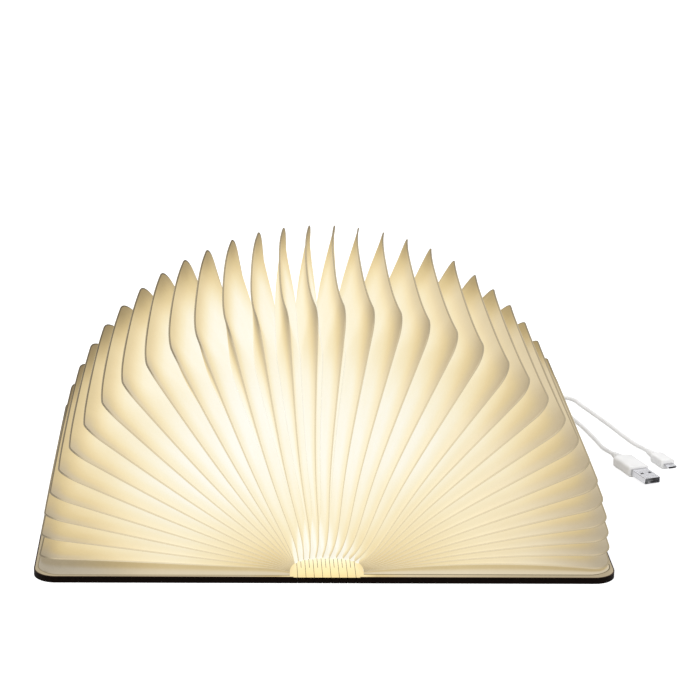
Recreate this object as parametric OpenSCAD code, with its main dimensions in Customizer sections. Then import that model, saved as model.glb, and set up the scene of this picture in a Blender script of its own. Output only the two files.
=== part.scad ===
// Folding book lamp, opened flat: two wooden cover boards joined by a laser-cut
// living hinge, a fan of 34 pleats over them, and a battery light bar on the spine.
// Millimetres. +Z is up, X runs across the open covers, Y runs along the spine.
// The origin is on the floor under the middle of the spine.

/* [Cover] */
// Length of the book along its spine
book_l = 215; // [160:1:280]
// Width of the whole cover, opened flat
cover_w = 360; // [350:1:440]
// Thickness of the cover board
board_t = 4; // [3:0.5:6]
// Radius of the outer corners of the cover
cover_corner_r = 14; // [4:1:30]
// Thickness of the lining paper on the inner faces
lining_t = 0.2; // [0.1:0.1:0.5]
// Distance of the lining paper from the outer edges of its board
lining_inset = 0.8; // [0.5:0.1:8]

/* [Living hinge] */
// Number of slot columns that run out through the ends of the spine
slot_columns = 8; // [6:2:8]
// Distance between two such columns
slot_pitch = 5.13; // [4:0.01:5.6]
// Width of a slot
slot_w = 0.5; // [0.4:0.1:1.4]
// Number of slots in each of the closed columns between them
slot_rows = 4; // [3:1:7]
// Wood left between two slots of one column
slot_bridge = 5; // [3:0.5:8]
// Wood left between a closed column and the end of the spine
end_bridge = 12; // [6:1:20]

/* [Pleats] */
// Reach of a pleat from its inner edge to its outer edge
pleat_w = 154; // [120:1:156]
// Distance of the pleats from each end of the cover
pleat_inset = 3.5; // [2:0.5:10]
// Thickness of a pressed pleat, two leaves of spunbonded paper
pleat_t = 0.3; // [0.2:0.05:0.36]
// Radius of the outer corners of a pleat
pleat_corner_r = 13; // [4:1:40]

/* [Fan] */
// Half the width of the arch on which the inner edges stand
arch_half_w = 22.8; // [21.5:0.1:24]
// Height of that arch
arch_h = 14.5; // [14:0.5:20]
// Height of the lowest inner edge above the board
arch_lift = 2.1; // [2:0.1:3]
// Thickness of the inner folds that close the bellows over the light bar
arch_t = 0.3; // [0.2:0.1:0.6]
// Distance between those folds and the inner edges of the pleats
arch_gap = 0.3; // [0.3:0.05:0.5]
// Number of pleats that are bunched at each foot of the arch
bunch_count = 12; // [10:1:13]
// Step between two bunched pleats along the arch, in degrees
bunch_step = 2.35; // [2:0.05:2.6]
// Angle of the lowest pleat on the left above the right-hand horizontal
left_angle = 176.6; // [174:0.1:177]
// Angle of the lowest pleat on the right
right_angle = 1.3; // [1.2:0.1:4]
// How far the middle of the fan leans to the right
fan_lean = 7.3; // [0:0.1:10]
// How far the pleats are crowded towards the floor on both sides
fan_crowding = 0.7; // [0:0.1:1.5]
// How far the right half is spread and the left half is drawn together
fan_sway = 2.5; // [0:0.1:3]
// How far the pleats half-way down on each side sink towards the floor
fan_droop = 1.3; // [0:0.1:1.5]

/* [Light bar] */
// Width of the light bar
bar_w = 13; // [12:0.5:14]
// Height of the light bar on its tape
bar_h = 8; // [8:0.1:8.4]
// Distance of the bar from the front end of the spine
bar_front_gap = 55.5; // [40:0.5:70]
// Distance of the bar from the rear end of the spine
bar_rear_gap = 9.5; // [6:0.5:30]
// Thickness of the tape under the bar
tape_t = 0.5; // [0.3:0.1:0.8]
// Wall of the tray
tray_wall = 1.1; // [0.8:0.1:1.3]
// Floor of the tray
tray_floor = 1; // [0.8:0.1:1.2]
// Wall of the diffuser
diffuser_wall = 0.9; // [0.7:0.1:1]
// Radius of the diffuser's upper edges
diffuser_edge_r = 1.6; // [1:0.1:2]
// Height of the diffuser above the rim of the tray
diffuser_h = 1.9; // [1.8:0.1:2.2]
// Thickness of an end cap
cap_t = 1.5; // [1:0.1:2.5]
// Depth of the spigot on an end cap
cap_spigot = 2; // [1:0.1:4]
// Clearance between parts that slide together
fit_gap = 0.15; // [0.1:0.05:0.2]

/* [Electronics] */
// Thickness of the circuit board
pcb_t = 1; // [0.8:0.1:1.2]
// Height of the ledge under the circuit board
ledge_h = 0.7; // [0.5:0.1:0.9]
// Width of that ledge
ledge_w = 0.9; // [0.7:0.1:1.1]
// Number of light-emitting diodes
led_count = 14; // [6:1:22]
// Length of a diode package along the bar
led_l = 2.8; // [2:0.1:3.5]
// Width of a diode package across the bar
led_w = 3.5; // [2.5:0.1:5]
// Height of a diode package
led_h = 0.7; // [0.4:0.1:0.8]
// Diameter of the phosphor window in a diode
led_window_d = 2.2; // [1.5:0.1:2.2]
// Length of the battery cell
cell_l = 72; // [40:1:76]
// Width of the battery cell
cell_w = 9.6; // [7:0.1:10]
// Thickness of the battery cell
cell_t = 2.8; // [2:0.1:2.9]
// Width of a battery tab
tab_w = 2; // [1:0.5:3]
// Thickness of a battery tab
tab_t = 0.2; // [0.1:0.05:0.3]
// Length of the magnetic switch along the bar
switch_l = 2.9; // [2:0.1:4]
// Width of the magnetic switch
switch_w = 1.6; // [1:0.1:3]
// Height of the magnetic switch
switch_h = 1.1; // [0.8:0.1:1.5]
// Length of the charge controller
chip_l = 4.9; // [3:0.1:6]
// Width of the charge controller
chip_w = 3.9; // [3:0.1:5]
// Height of the charge controller
chip_h = 1.5; // [0.8:0.1:1.7]

/* [Socket] */
// Width of the micro-USB opening at its wide side
port_w = 6.9; // [6.85:0.01:7]
// Width of the opening at its narrow side
port_narrow_w = 5.4; // [5.2:0.1:5.6]
// Height of the opening
port_h = 1.85; // [1.8:0.01:1.9]
// Depth of the socket
port_depth = 5.6; // [5:0.1:6]
// Sheet-metal wall of the socket and of the plug tips
shell_wall = 0.3; // [0.2:0.05:0.35]

/* [Magnets] */
// Diameter of a cover magnet
magnet_d = 8; // [5:0.5:12]
// Thickness of a cover magnet
magnet_t = 2.5; // [1.5:0.1:2.8]
// Distance of the magnets from the outer edge of the cover
magnet_edge = 16; // [10:1:30]
// Distance of the magnets from the ends of the cover
magnet_end = 22; // [14:1:60]

/* [Charging lead] */
// Diameter of the lead
lead_d = 3; // [2.5:0.1:3.5]
// Width of the small plug's moulding
micro_body_w = 10.4; // [10:0.1:11]
// Thickness of the small plug's moulding
micro_body_h = 6.8; // [6:0.1:7.4]
// Length of the small plug's moulding
micro_body_l = 17; // [14:0.5:22]
// Length of the metal tip of the small plug
micro_tip_l = 6.2; // [5.5:0.1:6.8]
// Width of the large plug's moulding
usb_body_w = 15.6; // [14:0.1:16.4]
// Thickness of the large plug's moulding
usb_body_h = 8; // [7.5:0.1:8.4]
// Length of the large plug's moulding
usb_body_l = 25; // [20:0.5:30]
// Width of the large plug's metal shell
usb_shell_w = 12; // [11.9:0.1:12.2]
// Height of the large plug's metal shell
usb_shell_h = 4.5; // [4.4:0.1:4.6]
// Length of the large plug's metal shell
usb_shell_l = 18.8; // [18:0.1:19]
// Length of the ribbed strain relief behind each plug
relief_l = 11; // [8:0.5:14]
// Radius of the edges of both mouldings
moulding_edge_r = 2.4; // [1.5:0.1:3]

/* [Hidden] */
$fn = 64;

pleat_count = 34;
hinge_half_w = slot_columns / 2 * slot_pitch;
half_l = book_l / 2;
half_w = cover_w / 2;

// Lengths of the hinge slots: the closed columns carry slot_rows slots between
// two end bridges, and the open columns have their bridges at the slots' middles.
closed_slot_l = (book_l - 2 * end_bridge - (slot_rows - 1) * slot_bridge) / slot_rows;
slot_step = closed_slot_l + slot_bridge;
cut = 1;

// Heights and ends of the light bar, from the board upwards
bar_z = board_t + tape_t;
cell_z = bar_z + tray_floor;
rim_z = bar_z + bar_h - diffuser_h;
pcb_z = rim_z - pcb_t;
ledge_z = pcb_z - ledge_h;
bar_y0 = -half_l + bar_front_gap;
bar_y1 = half_l - bar_rear_gap;
tray_y0 = bar_y0 + cap_t;
tray_y1 = bar_y1 - cap_t;
tray_l = tray_y1 - tray_y0;
tray_inner_w = bar_w - 2 * tray_wall;
port_outer_h = port_h + 2 * shell_wall;
port_z = pcb_z - port_outer_h / 2;
led_y0 = tray_y0 + cap_spigot + 4;
led_y1 = tray_y1 - cap_spigot - 4;
chip_y = tray_y1 - port_depth - chip_l;
cell_y1 = chip_y - chip_l - 4;
cell_y0 = cell_y1 - cell_l;
switch_y = tray_y0 + cap_spigot + 5;

// Both plugs lie on the floor and point the same way
plug_turn = -70;
plug_axis = [cos(plug_turn), sin(plug_turn), 0];
micro_entry = [238, 120, 3.4];
usb_entry = [212, 112, 4];
tongue_l = 11;
tongue_h = 1.9;
window_l = 2.4;
window_w = 2.2;

// Points of the lead's route, from the small plug round the loop to the large plug
lead_route = [
  micro_entry, [236, 127, 2.9], [233.5, 135, 2], [230.5, 144, 1.5], [227, 155, 1.5],
  [223.5, 167, 1.5], [220, 179, 1.5], [216, 191.5, 1.5], [212, 204, 1.5], [208, 216, 1.5],
  [204.5, 226.5, 1.5], [202.5, 233.5, 1.5], [199, 239, 1.5], [194.5, 241.5, 1.5],
  [190, 240, 1.5], [187, 235.5, 1.5], [186.5, 229, 1.5], [188, 219, 1.5],
  [191, 207, 1.5], [194.5, 194, 1.5], [198, 181, 1.5], [201, 168, 1.5],
  [203.5, 155, 1.5], [205.5, 144, 1.5], [207, 134, 1.6], [208.5, 125, 2.6],
  [210, 118, 3.6], usb_entry];

// Place of a pleat along the arch, in degrees from its left foot
function arch_angle(i) =
  i <= bunch_count ? (i - 1) * bunch_step
  : i > pleat_count - bunch_count ? 180 - (pleat_count - i) * bunch_step
  : let (first = (bunch_count - 1) * bunch_step,
         steps = pleat_count - 2 * bunch_count + 1)
    first + (i - bunch_count) * (180 - 2 * first) / steps;

// Share of the way from the lowest pleat on the left to the lowest on the right
function share(i) = (i - 1) / (pleat_count - 1);

// Angle of a pleat above the right-hand horizontal
function pleat_angle(i) = left_angle + (right_angle - left_angle) * share(i)
  - fan_lean * sin(180 * share(i))
  + fan_droop * sin(360 * share(i))
  - fan_crowding * sin(540 * share(i))
  + fan_sway * sin(720 * share(i));

function pleat_foot(i) = [-arch_half_w * cos(arch_angle(i)), 0,
  board_t + arch_lift + arch_h * sin(arch_angle(i))];

function unit(v) = v / norm(v);

// Direction of a route at one of its points; both ends follow the plugs
function heading(route, k) =
  k == 0 ? -plug_axis
  : k == len(route) - 1 ? plug_axis
  : unit(route[k + 1] - route[k - 1]);

// Sheet from x0 to x1 with its two outer corners rounded
module sheet_outline(x0, x1, half_length, corner_r) {
  translate([x0, -half_length]) square([x1 - x0 - corner_r, 2 * half_length]);
  translate([x0, -half_length + corner_r])
    square([x1 - x0, 2 * (half_length - corner_r)]);
  for (side = [-1, 1])
    translate([x1 - corner_r, side * (half_length - corner_r)]) circle(r = corner_r);
}

// Rectangle with four round corners, centred
module round_box_outline(w, h, r) {
  square([w - 2 * r, h], center = true);
  square([w, h - 2 * r], center = true);
  for (sx = [-1, 1], sy = [-1, 1])
    translate([sx * (w / 2 - r), sy * (h / 2 - r)]) circle(r = r);
}

// Places its children at the cover magnets of the right-hand board
module at_magnets() {
  for (side = [-1, 1])
    translate([half_w - magnet_edge, side * (half_l - magnet_end), board_t - magnet_t])
      children();
}

// One cover board, drawn on the right, with blind pockets for its magnets
module cover_board() {
  difference() {
    linear_extrude(board_t) sheet_outline(hinge_half_w, half_w, half_l, cover_corner_r);
    at_magnets() cylinder(d = magnet_d + 2 * fit_gap, h = magnet_t + cut);
  }
}

module lining() {
  linear_extrude(lining_t)
    sheet_outline(hinge_half_w, half_w - lining_inset, half_l - lining_inset,
      cover_corner_r - lining_inset);
}

// Slots that run out through both ends, broken by bridges
module open_column() {
  y_cuts = [for (r = [0:slot_rows]) -half_l + end_bridge + (r - 0.5) * slot_step];
  for (r = [0:slot_rows]) {
    y0 = r == 0 ? -half_l - cut : y_cuts[r];
    y1 = r == slot_rows ? half_l + cut : y_cuts[r] + closed_slot_l;
    translate([-slot_w / 2, y0, -cut]) cube([slot_w, y1 - y0, board_t + 2 * cut]);
  }
}

// Slots that stay inside the board
module closed_column() {
  for (r = [0:slot_rows - 1])
    translate([-slot_w / 2, -half_l + end_bridge + r * slot_step, -cut])
      cube([slot_w, closed_slot_l, board_t + 2 * cut]);
}

module spine_hinge() {
  color("#4a3020") difference() {
    translate([-hinge_half_w, -half_l, 0]) cube([2 * hinge_half_w, book_l, board_t]);
    for (c = [0:slot_columns - 1])
      translate([(c - (slot_columns - 1) / 2) * slot_pitch, 0, 0]) open_column();
    for (c = [0:slot_columns - 2])
      translate([(c - (slot_columns - 2) / 2) * slot_pitch, 0, 0]) closed_column();
  }
}

// One pressed pleat of the paper bellows, standing on the arch
module pleat(i) {
  color("#fff3d2") translate(pleat_foot(i)) rotate([0, -pleat_angle(i), 0])
    linear_extrude(pleat_t, center = true)
      sheet_outline(0, pleat_w, half_l - pleat_inset, pleat_corner_r);
}

// Points of the arch on which the pleats stand, drawn in by a distance
function arch_points(inward) = concat(
  [[-arch_half_w + inward, board_t + lining_t]],
  [for (turn = [0:5:180]) [-(arch_half_w - inward) * cos(turn),
    board_t + arch_lift + (arch_h - inward) * sin(turn)]],
  [[arch_half_w - inward, board_t + lining_t]]);

// Inner folds of the bellows: a paper vault from board to board over the light bar
module inner_folds() {
  color("#fff3d2") along_spine(-half_l + pleat_inset, half_l - pleat_inset)
    difference() {
      polygon(arch_points(arch_gap));
      translate([0, -cut]) polygon(arch_points(arch_gap + arch_t));
      polygon(arch_points(arch_gap + arch_t));
    }
}

// Extrudes an outline drawn in X and Z along the spine, from y0 to y1
module along_spine(y0, y1) {
  translate([0, y1, 0]) rotate([90, 0, 0]) linear_extrude(y1 - y0) children();
}

module bar_tape() {
  color("#303030") along_spine(tray_y0, tray_y1)
    translate([-bar_w / 2 + 1, board_t]) square([bar_w - 2, tape_t]);
}

module light_bar_tray() {
  color("#d8d8d4") difference() {
    along_spine(tray_y0, tray_y1) difference() {
      translate([-bar_w / 2, bar_z]) square([bar_w, rim_z - bar_z]);
      translate([-tray_inner_w / 2, pcb_z])
        square([tray_inner_w, rim_z - pcb_z + cut]);
      translate([-tray_inner_w / 2, cell_z]) square([tray_inner_w, ledge_z - cell_z]);
      translate([-tray_inner_w / 2 + ledge_w, ledge_z - cut])
        square([tray_inner_w - 2 * ledge_w, ledge_h + 2 * cut]);
    }
    // The ledges stop short of the socket and of both end caps
    for (span = [[tray_y0 - cut, tray_y0 + cap_spigot + fit_gap],
                 [tray_y1 - port_depth - 1, tray_y1 + cut]])
      translate([-tray_inner_w / 2, span[0], ledge_z - cut])
        cube([tray_inner_w, span[1] - span[0], ledge_h + 2 * cut]);
  }
}

// Outline of the diffuser: a low arch that stands on the rim of the tray
module diffuser_outline(shrink) {
  w = bar_w - 2 * shrink;
  r = diffuser_edge_r - shrink;
  h = diffuser_h - shrink;
  translate([-w / 2, 0]) square([w, h - r]);
  translate([-w / 2 + r, 0]) square([w - 2 * r, h]);
  for (side = [-1, 1]) translate([side * (w / 2 - r), h - r]) circle(r = r);
}

module light_bar_diffuser() {
  color("#fffdf0") along_spine(tray_y0, tray_y1) translate([0, rim_z]) difference() {
    diffuser_outline(0);
    diffuser_outline(diffuser_wall);
    translate([-bar_w / 2 + diffuser_wall, -cut])
      square([bar_w - 2 * diffuser_wall, cut + 0.1]);
    translate([-bar_w, -2 * bar_w]) square([2 * bar_w, 2 * bar_w]);
  }
}

// Outline of the closed bar: tray below, diffuser above
module bar_outline() {
  translate([-bar_w / 2, bar_z]) square([bar_w, rim_z - bar_z]);
  intersection() {
    translate([0, rim_z]) diffuser_outline(0);
    translate([-bar_w / 2, rim_z - cut]) square([bar_w, diffuser_h + cut]);
  }
}

// Spigot of an end cap, a slide fit in the lower part of the tray
module spigot_outline() {
  translate([-tray_inner_w / 2 + fit_gap, cell_z + fit_gap])
    square([tray_inner_w - 2 * fit_gap, pcb_z - cell_z - 2 * fit_gap]);
}

module front_end_cap() {
  color("#d8d8d4") union() {
    along_spine(bar_y0, tray_y0) bar_outline();
    along_spine(tray_y0, tray_y0 + cap_spigot) spigot_outline();
  }
}

// Outline of the micro-USB opening grown by a wall, wide side up
module port_outline(grow) {
  wide = port_w / 2 + grow;
  narrow = port_narrow_w / 2 + grow;
  h = port_h / 2 + grow;
  polygon([[-wide, h], [wide, h], [wide, 0], [narrow, -h], [-narrow, -h], [-wide, 0]]);
}

module rear_end_cap() {
  color("#d8d8d4") difference() {
    along_spine(tray_y1, bar_y1) bar_outline();
    along_spine(tray_y1 - cut, bar_y1 + cut)
      translate([0, port_z]) port_outline(shell_wall + fit_gap / 2);
  }
}

module led_board() {
  color("#f4f4f0") translate([-tray_inner_w / 2 + fit_gap, tray_y0, pcb_z])
    cube([tray_inner_w - 2 * fit_gap, tray_l, pcb_t]);
}

module leds() {
  color("#ffe9a0") for (k = [0:led_count - 1])
    translate([0, led_y0 + k * (led_y1 - led_y0) / (led_count - 1), rim_z])
      difference() {
        translate([-led_w / 2, -led_l / 2, 0]) cube([led_w, led_l, led_h]);
        translate([0, 0, led_h - 0.1]) cylinder(d = led_window_d, h = cut, $fn = 24);
      }
}

module battery_cell() {
  color("#c9ccd0") union() {
    along_spine(cell_y0, cell_y1) translate([0, cell_z + cell_t / 2])
      round_box_outline(cell_w, cell_t, 0.8);
    for (side = [-1, 1])
      translate([side * cell_w / 5 - tab_w / 2, cell_y1, cell_z + cell_t / 2])
        cube([tab_w, tab_t, pcb_z - cell_z - cell_t / 2]);
  }
}

module magnetic_switch() {
  color("#202020") translate([-switch_w / 2, switch_y - switch_l / 2, pcb_z - switch_h])
    cube([switch_w, switch_l, switch_h]);
}

module charge_controller() {
  color("#202020") translate([-chip_w / 2, chip_y - chip_l / 2, pcb_z - chip_h])
    cube([chip_w, chip_l, chip_h]);
}

// Sheet-metal socket under the board, with its contact tongue
module micro_usb_socket() {
  color("#c0c0c4") union() {
    difference() {
      along_spine(bar_y1 - port_depth, bar_y1) translate([0, port_z])
        port_outline(shell_wall);
      along_spine(bar_y1 - port_depth + shell_wall, bar_y1 + cut)
        translate([0, port_z]) port_outline(0);
    }
    along_spine(bar_y1 - port_depth, bar_y1 - 1) translate([-1.85, port_z - 0.1])
      square([3.7, 0.6]);
  }
}

module magnets() {
  color("#b8b8bc") at_magnets() cylinder(d = magnet_d, h = magnet_t);
}

// Turns children, drawn along +X from the cord entry, to the plug's place
module at_plug(entry) {
  translate(entry) rotate([0, 0, plug_turn]) children();
}

// Extrudes an outline drawn in Y and Z along +X from x0 to x1
module along_plug(x0, x1) {
  translate([x0, 0, 0]) rotate([90, 0, 90]) linear_extrude(x1 - x0) children();
}

// Tapered strain relief with five ribs, from the cord to the moulding
module relief(r_end) {
  ribs = 5;
  rib_step = relief_l / ribs;
  r_start = lead_d / 2 + 0.35;
  rotate([0, 90, 0]) union() {
    cylinder(r1 = r_start, r2 = r_end - 0.7, h = relief_l);
    for (k = [0:ribs - 1]) {
      r_rib = r_start + 0.5 + (r_end - r_start - 0.5) * k / (ribs - 1);
      translate([0, 0, k * rib_step + rib_step * 0.3]) cylinder(r = r_rib, h = rib_step * 0.5);
    }
  }
}

module micro_plug_body() {
  color("#f6f6f4") at_plug(micro_entry) union() {
    relief(micro_body_h / 2 - 0.2);
    along_plug(relief_l, relief_l + micro_body_l)
      round_box_outline(micro_body_w, micro_body_h, moulding_edge_r);
  }
}

module micro_plug_tip() {
  color("#c8c8cc") at_plug(micro_entry)
    translate([relief_l + micro_body_l, 0, 0]) difference() {
      along_plug(0, micro_tip_l) port_outline(-0.05);
      along_plug(0.8, micro_tip_l + cut) port_outline(-0.05 - shell_wall);
    }
}

module usb_plug_body() {
  color("#f6f6f4") at_plug(usb_entry) union() {
    relief(usb_body_h / 2 - 0.4);
    along_plug(relief_l, relief_l + usb_body_l)
      round_box_outline(usb_body_w, usb_body_h, moulding_edge_r);
  }
}

// Metal shell of the large plug with its two latch windows
module usb_plug_shell() {
  color("#c8c8cc") at_plug(usb_entry)
    translate([relief_l + usb_body_l, 0, 0]) difference() {
      along_plug(0, usb_shell_l) round_box_outline(usb_shell_w, usb_shell_h, 0.5);
      along_plug(-cut, usb_shell_l + cut)
        round_box_outline(usb_shell_w - 2 * shell_wall, usb_shell_h - 2 * shell_wall, 0.25);
      for (side = [-1, 1])
        translate([usb_shell_l * 0.5 - window_l / 2,
            side * usb_shell_w / 4 - window_w / 2, -usb_shell_h])
          cube([window_l, window_w, 2 * usb_shell_h]);
    }
}

// Contact tongue that fills the lower half of the large plug's shell
module usb_plug_tongue() {
  color("#f0f0f0") at_plug(usb_entry)
    translate([relief_l + usb_body_l, -usb_shell_w / 2 + shell_wall + fit_gap,
        -usb_shell_h / 2 + shell_wall])
      cube([tongue_l, usb_shell_w - 2 * shell_wall - 2 * fit_gap, tongue_h]);
}

// The lead: one tube with a ring of eight corners at each point of its route
module charging_lead() {
  sides = 8;
  rings = len(lead_route);
  up = [0, 0, 1];
  corners = [for (k = [0:rings - 1], s = [0:sides - 1])
    let (along = heading(lead_route, k),
         across = unit(cross(up, along)),
         over = cross(along, across),
         turn = (s + 0.5) * 360 / sides)
    lead_route[k] + lead_d / 2 * (cos(turn) * across + sin(turn) * over)];
  walls = [for (k = [0:rings - 2], s = [0:sides - 1])
    [k * sides + s, (k + 1) * sides + s,
     (k + 1) * sides + (s + 1) % sides, k * sides + (s + 1) % sides]];
  first_end = [for (s = [0:sides - 1]) s];
  last_end = [for (s = [0:sides - 1]) (rings - 1) * sides + sides - 1 - s];
  color("#f6f6f4") polyhedron(corners, concat(walls, [first_end], [last_end]), convexity = 4);
}

module cover_left() {
  color("#4a3020") mirror([1, 0, 0]) cover_board();
}

module cover_right() {
  color("#4a3020") cover_board();
}

module lining_left() {
  color("#efe6cc") mirror([1, 0, 0]) translate([0, 0, board_t]) lining();
}

module lining_right() {
  color("#efe6cc") translate([0, 0, board_t]) lining();
}

module magnets_left() {
  mirror([1, 0, 0]) magnets();
}

module magnets_right() {
  magnets();
}

cover_left();
cover_right();
spine_hinge();
lining_left();
lining_right();
magnets_left();
magnets_right();
inner_folds();
bar_tape();
light_bar_tray();
light_bar_diffuser();
front_end_cap();
rear_end_cap();
led_board();
leds();
battery_cell();
magnetic_switch();
charge_controller();
micro_usb_socket();
pleat(1);  // pleat_01
pleat(2);  // pleat_02
pleat(3);  // pleat_03
pleat(4);  // pleat_04
pleat(5);  // pleat_05
pleat(6);  // pleat_06
pleat(7);  // pleat_07
pleat(8);  // pleat_08
pleat(9);  // pleat_09
pleat(10);  // pleat_10
pleat(11);  // pleat_11
pleat(12);  // pleat_12
pleat(13);  // pleat_13
pleat(14);  // pleat_14
pleat(15);  // pleat_15
pleat(16);  // pleat_16
pleat(17);  // pleat_17
pleat(18);  // pleat_18
pleat(19);  // pleat_19
pleat(20);  // pleat_20
pleat(21);  // pleat_21
pleat(22);  // pleat_22
pleat(23);  // pleat_23
pleat(24);  // pleat_24
pleat(25);  // pleat_25
pleat(26);  // pleat_26
pleat(27);  // pleat_27
pleat(28);  // pleat_28
pleat(29);  // pleat_29
pleat(30);  // pleat_30
pleat(31);  // pleat_31
pleat(32);  // pleat_32
pleat(33);  // pleat_33
pleat(34);  // pleat_34
charging_lead();
micro_plug_body();
micro_plug_tip();
usb_plug_body();
usb_plug_shell();
usb_plug_tongue();
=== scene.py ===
# Folding book lamp: a wooden cover on a laser-cut living hinge, a bellows of glowing paper
# pleats, a light bar on the spine and a short charging lead.
import bpy
import math
import numpy as np
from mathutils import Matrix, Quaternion, Vector


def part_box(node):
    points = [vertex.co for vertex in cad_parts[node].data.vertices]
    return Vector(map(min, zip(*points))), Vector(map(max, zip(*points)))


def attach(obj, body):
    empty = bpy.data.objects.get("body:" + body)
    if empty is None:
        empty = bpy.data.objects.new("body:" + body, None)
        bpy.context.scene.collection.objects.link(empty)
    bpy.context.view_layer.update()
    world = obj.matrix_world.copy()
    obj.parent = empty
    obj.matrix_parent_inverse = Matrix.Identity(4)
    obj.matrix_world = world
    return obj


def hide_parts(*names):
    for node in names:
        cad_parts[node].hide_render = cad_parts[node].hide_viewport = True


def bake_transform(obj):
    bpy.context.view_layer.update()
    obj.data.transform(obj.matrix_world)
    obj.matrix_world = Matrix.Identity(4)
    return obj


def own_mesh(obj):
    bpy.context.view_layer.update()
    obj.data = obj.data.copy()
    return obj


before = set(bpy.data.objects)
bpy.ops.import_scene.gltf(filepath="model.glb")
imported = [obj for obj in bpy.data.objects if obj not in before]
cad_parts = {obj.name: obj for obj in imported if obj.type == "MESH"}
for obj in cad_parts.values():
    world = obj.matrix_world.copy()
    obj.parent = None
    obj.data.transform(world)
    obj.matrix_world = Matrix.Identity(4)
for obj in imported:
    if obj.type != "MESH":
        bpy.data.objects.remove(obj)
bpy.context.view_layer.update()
mm = 0.001

# camera

camera = {
    "target": (16.3, -7.5, 118.5),  # mm, the point in the middle of the view
    "elevation": 17.9,              # degrees above the horizon
    "yaw": 3.31,                    # degrees to the right
    "roll": 1.49,                   # degrees
    "distance": 1500.0,             # mm from the target
    "lens": 120.55,                 # mm on a 36 mm sensor
    "sensor": 36.0,
    "clip": (0.05, 20.0),           # m
}


def makeCamera():
    elevation, yaw = math.radians(camera["elevation"]), math.radians(camera["yaw"])
    forward = Vector((math.sin(yaw) * math.cos(elevation),
                      math.cos(yaw) * math.cos(elevation), -math.sin(elevation)))
    data = bpy.data.cameras.new("camera")
    data.lens, data.sensor_width = camera["lens"], camera["sensor"]
    data.clip_start, data.clip_end = camera["clip"]
    obj = bpy.data.objects.new("camera", data)
    obj.location = Vector(camera["target"]) * mm - forward * camera["distance"] * mm
    obj.rotation_mode = "QUATERNION"
    roll = Quaternion((0, 0, 1), math.radians(camera["roll"]))
    obj.rotation_quaternion = forward.to_track_quat("-Z", "Y") @ roll
    bpy.context.scene.collection.objects.link(obj)
    bpy.context.scene.camera = obj


makeCamera()
print("camera placed")

# mesh helpers


def meshObject(name, points, faces, smooth=True):
    mesh = bpy.data.meshes.new(name)
    mesh.from_pydata(points.tolist(), [], faces.tolist() if hasattr(faces, "tolist") else faces)
    mesh.polygons.foreach_set("use_smooth", np.full(len(mesh.polygons), smooth))
    mesh.update()
    obj = bpy.data.objects.new(name, mesh)
    bpy.context.scene.collection.objects.link(obj)
    return obj


def gridFaces(rows, columns, closeColumns=False, flip=False):
    # quads of a grid whose point (i, j) has the index i * columns + j
    i, j = np.meshgrid(np.arange(rows - 1), np.arange(columns if closeColumns else columns - 1),
                       indexing="ij")
    nextI, nextJ = i + 1, (j + 1) % columns
    quads = np.stack([i * columns + j, nextI * columns + j,
                      nextI * columns + nextJ, i * columns + nextJ], -1).reshape(-1, 4)
    return quads[:, ::-1] if flip else quads


def gridNormals(grid):
    # unit normal at every grid point: cross product of the two directions of the grid
    along = np.gradient(grid, axis=0)
    across = np.gradient(grid, axis=1)
    normal = np.cross(along, across)
    return normal / np.maximum(np.linalg.norm(normal, axis=-1, keepdims=True), 1e-12)


def sheetShell(grid, thickness):
    # a grid surface and its copy pushed along the normals, joined round the rim
    rows, columns = grid.shape[:2]
    back = grid - gridNormals(grid) * thickness
    points = np.concatenate([grid.reshape(-1, 3), back.reshape(-1, 3)])
    count = rows * columns
    index = np.arange(count).reshape(rows, columns)
    rim = np.concatenate([index[:, 0], index[-1, 1:], index[-2::-1, -1], index[0, -2:0:-1]])
    nextRim = np.roll(rim, -1)
    walls = np.stack([rim, rim + count, nextRim + count, nextRim], -1)
    faces = np.concatenate([gridFaces(rows, columns),
                            gridFaces(rows, columns, flip=True) + count, walls])
    return points, faces


def addAttribute(obj, name, values):
    layer = obj.data.attributes.new(name, "FLOAT", "POINT")
    layer.data.foreach_set("value", np.asarray(values, np.float32).ravel())


def smoothStep(low, high, x):
    t = np.clip((x - low) / (high - low), 0.0, 1.0)
    return t * t * (3.0 - 2.0 * t)


# material helpers


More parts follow.
